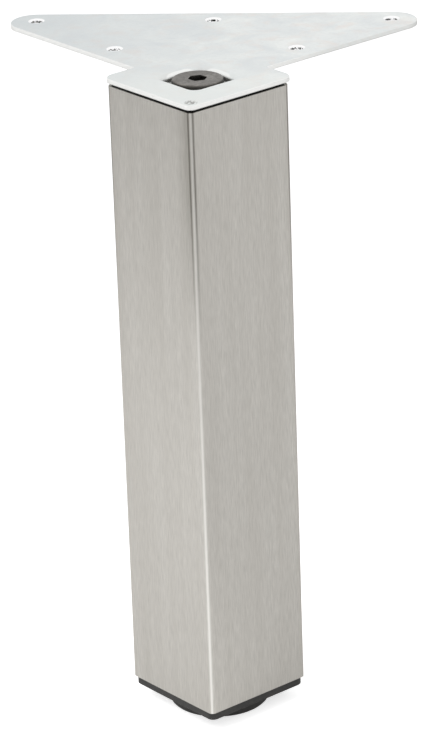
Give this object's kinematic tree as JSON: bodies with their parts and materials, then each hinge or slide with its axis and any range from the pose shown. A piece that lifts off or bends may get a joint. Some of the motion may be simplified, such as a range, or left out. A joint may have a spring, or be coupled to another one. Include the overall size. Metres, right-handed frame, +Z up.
{
  "type": "square metal table leg",
  "caption": "Square brushed stainless table leg with a triangular zinc-plated mounting plate on top and a round screw-in levelling foot below.",
  "frame": {"origin": "on the leg's axis at the sole of the levelling foot, turned fully in", "axes": "+Z up along the tube to the table top, +Y to the rear along the mounting plate's line of symmetry, X along the plate's long rear edge"},
  "size_m": [0.1962, 0.1418, 0.3179],
  "materials": {
    "stainless": "fine vertical brushing",
    "zinc_steel": "pale zinc plating, faintly blotched",
    "black_steel": "black oxide, worn grey on the head",
    "black_plastic": "moulded, matt"
  },
  "bodies": {
    "leg": {"leg_tube": "stainless", "top_plug": "black_plastic", "top_nut": "zinc_steel", "mounting_plate": "zinc_steel", "plate_screw": "black_steel", "end_plug": "black_plastic", "foot_nut": "zinc_steel"},
    "stud": {"levelling_stud": "zinc_steel"},
    "foot": {"foot_disc": "black_plastic"}
  },
  "joints": [
    {"name": "foot_travel", "type": "slide", "parent": "leg", "child": "stud", "axis": [0, 0, -1], "range_m": [0, 0.02]},
    {"name": "foot_turn", "type": "hinge", "parent": "stud", "child": "foot", "pos_m": [0, 0, 0], "axis": [0, 0, -1], "range_deg": [0, 4800]}
  ],
  "couplings": [
    {"joint": "foot_travel", "follows": "foot_turn", "m_per_rad": 0.00023873}
  ]
}
